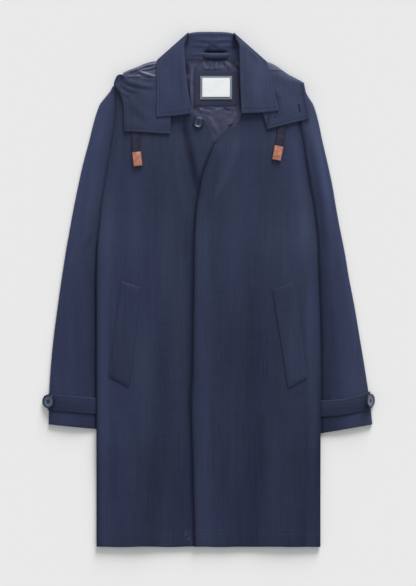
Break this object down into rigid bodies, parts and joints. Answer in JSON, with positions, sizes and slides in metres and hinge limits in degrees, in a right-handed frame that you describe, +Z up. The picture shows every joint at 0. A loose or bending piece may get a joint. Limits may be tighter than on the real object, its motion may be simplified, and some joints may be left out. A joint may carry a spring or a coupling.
{
  "type": "hooded raincoat",
  "caption": "Navy hooded raincoat laid flat on its back, with a stand-and-fall collar, gathered hood, fly front, slanted welt pockets and strapped cuffs.",
  "frame": {"origin": "middle of the coat's footprint, on the surface it lies on", "axes": "+Z up from the surface, +Y towards the collar, +X to the viewer's right when the coat's front is seen from above"},
  "size_m": [0.649, 1.005, 0.022],
  "materials": {
    "shell": "proofed cotton shell, navy, matt satin",
    "lining": "satin lining, grey blue",
    "patch": "navy facing",
    "border": "woven label border, grey green",
    "label": "woven label, white, blank",
    "button": "polished horn-look resin, nearly black navy",
    "tape": "flat woven tape, dark",
    "leather": "tan leather"
  },
  "bodies": {
    "root": {"back": "shell", "front_left": "shell", "front_right": "shell", "sleeve_left": "shell", "sleeve_right": "shell", "cuff_strap_left": "shell", "cuff_strap_right": "shell", "cuff_button_left": "button", "cuff_button_right": "button", "pocket_welt_left": "shell", "pocket_welt_right": "shell", "neck_lining": "lining", "label_patch": "patch", "label_border": "border", "label_blank": "label", "collar_stand": "shell", "collar": "shell", "hanger_loop": "shell", "neck_button": "button", "hood": "shell", "hood_band_left": "shell", "hood_band_right": "shell", "hood_lining_left": "lining", "drawcord_left": "tape", "drawcord_right": "tape", "cord_tip_left": "leather", "cord_tip_right": "leather"}
  },
  "joints": []
}
